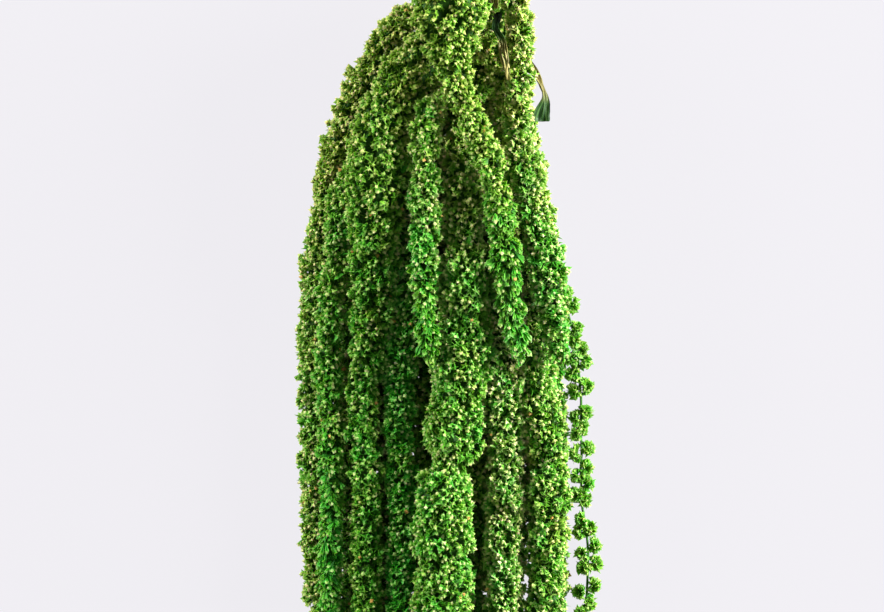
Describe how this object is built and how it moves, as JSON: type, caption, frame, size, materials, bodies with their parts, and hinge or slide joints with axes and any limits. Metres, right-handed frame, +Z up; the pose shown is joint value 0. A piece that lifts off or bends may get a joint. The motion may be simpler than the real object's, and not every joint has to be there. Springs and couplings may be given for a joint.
{
  "type": "amaranth seed head",
  "caption": "Cut amaranth seed head with long drooping tassels of small floret clusters, a loose beaded string and dried leaves on a ridged stem, laid on its side",
  "frame": {"origin": "on the surface it lies on, under the middle of its bounding box", "axes": "+Z up from the surface, +Y along the head towards the cut end of the stem, +X to the right seen from above with the stem at the top"},
  "size_m": [0.0926, 0.3346, 0.0485],
  "materials": {
    "stem": "matte, ridged green stalk",
    "florets": "matte papery florets, cream at the tips and dark green at the base",
    "dried_leaf": "matte, shrivelled, tan to dark green"
  },
  "bodies": {
    "root": {"stem": "stem", "back_tassel_1": "florets", "back_tassel_2": "florets", "back_tassel_3": "florets", "back_tassel_4": "florets", "back_tassel_5": "florets", "back_tassel_6": "florets", "left_edge_tassel": "florets", "left_second_tassel": "florets", "left_third_tassel": "florets", "left_fourth_tassel": "florets", "main_tassel": "florets", "right_inner_tassel": "florets", "right_outer_tassel": "florets", "right_edge_tassel": "florets", "front_slim_tassel": "florets", "front_curved_tassel": "florets", "beaded_string": "florets", "twisted_leaf": "dried_leaf", "curled_leaf": "dried_leaf", "bract_leaf": "dried_leaf"}
  },
  "joints": []
}
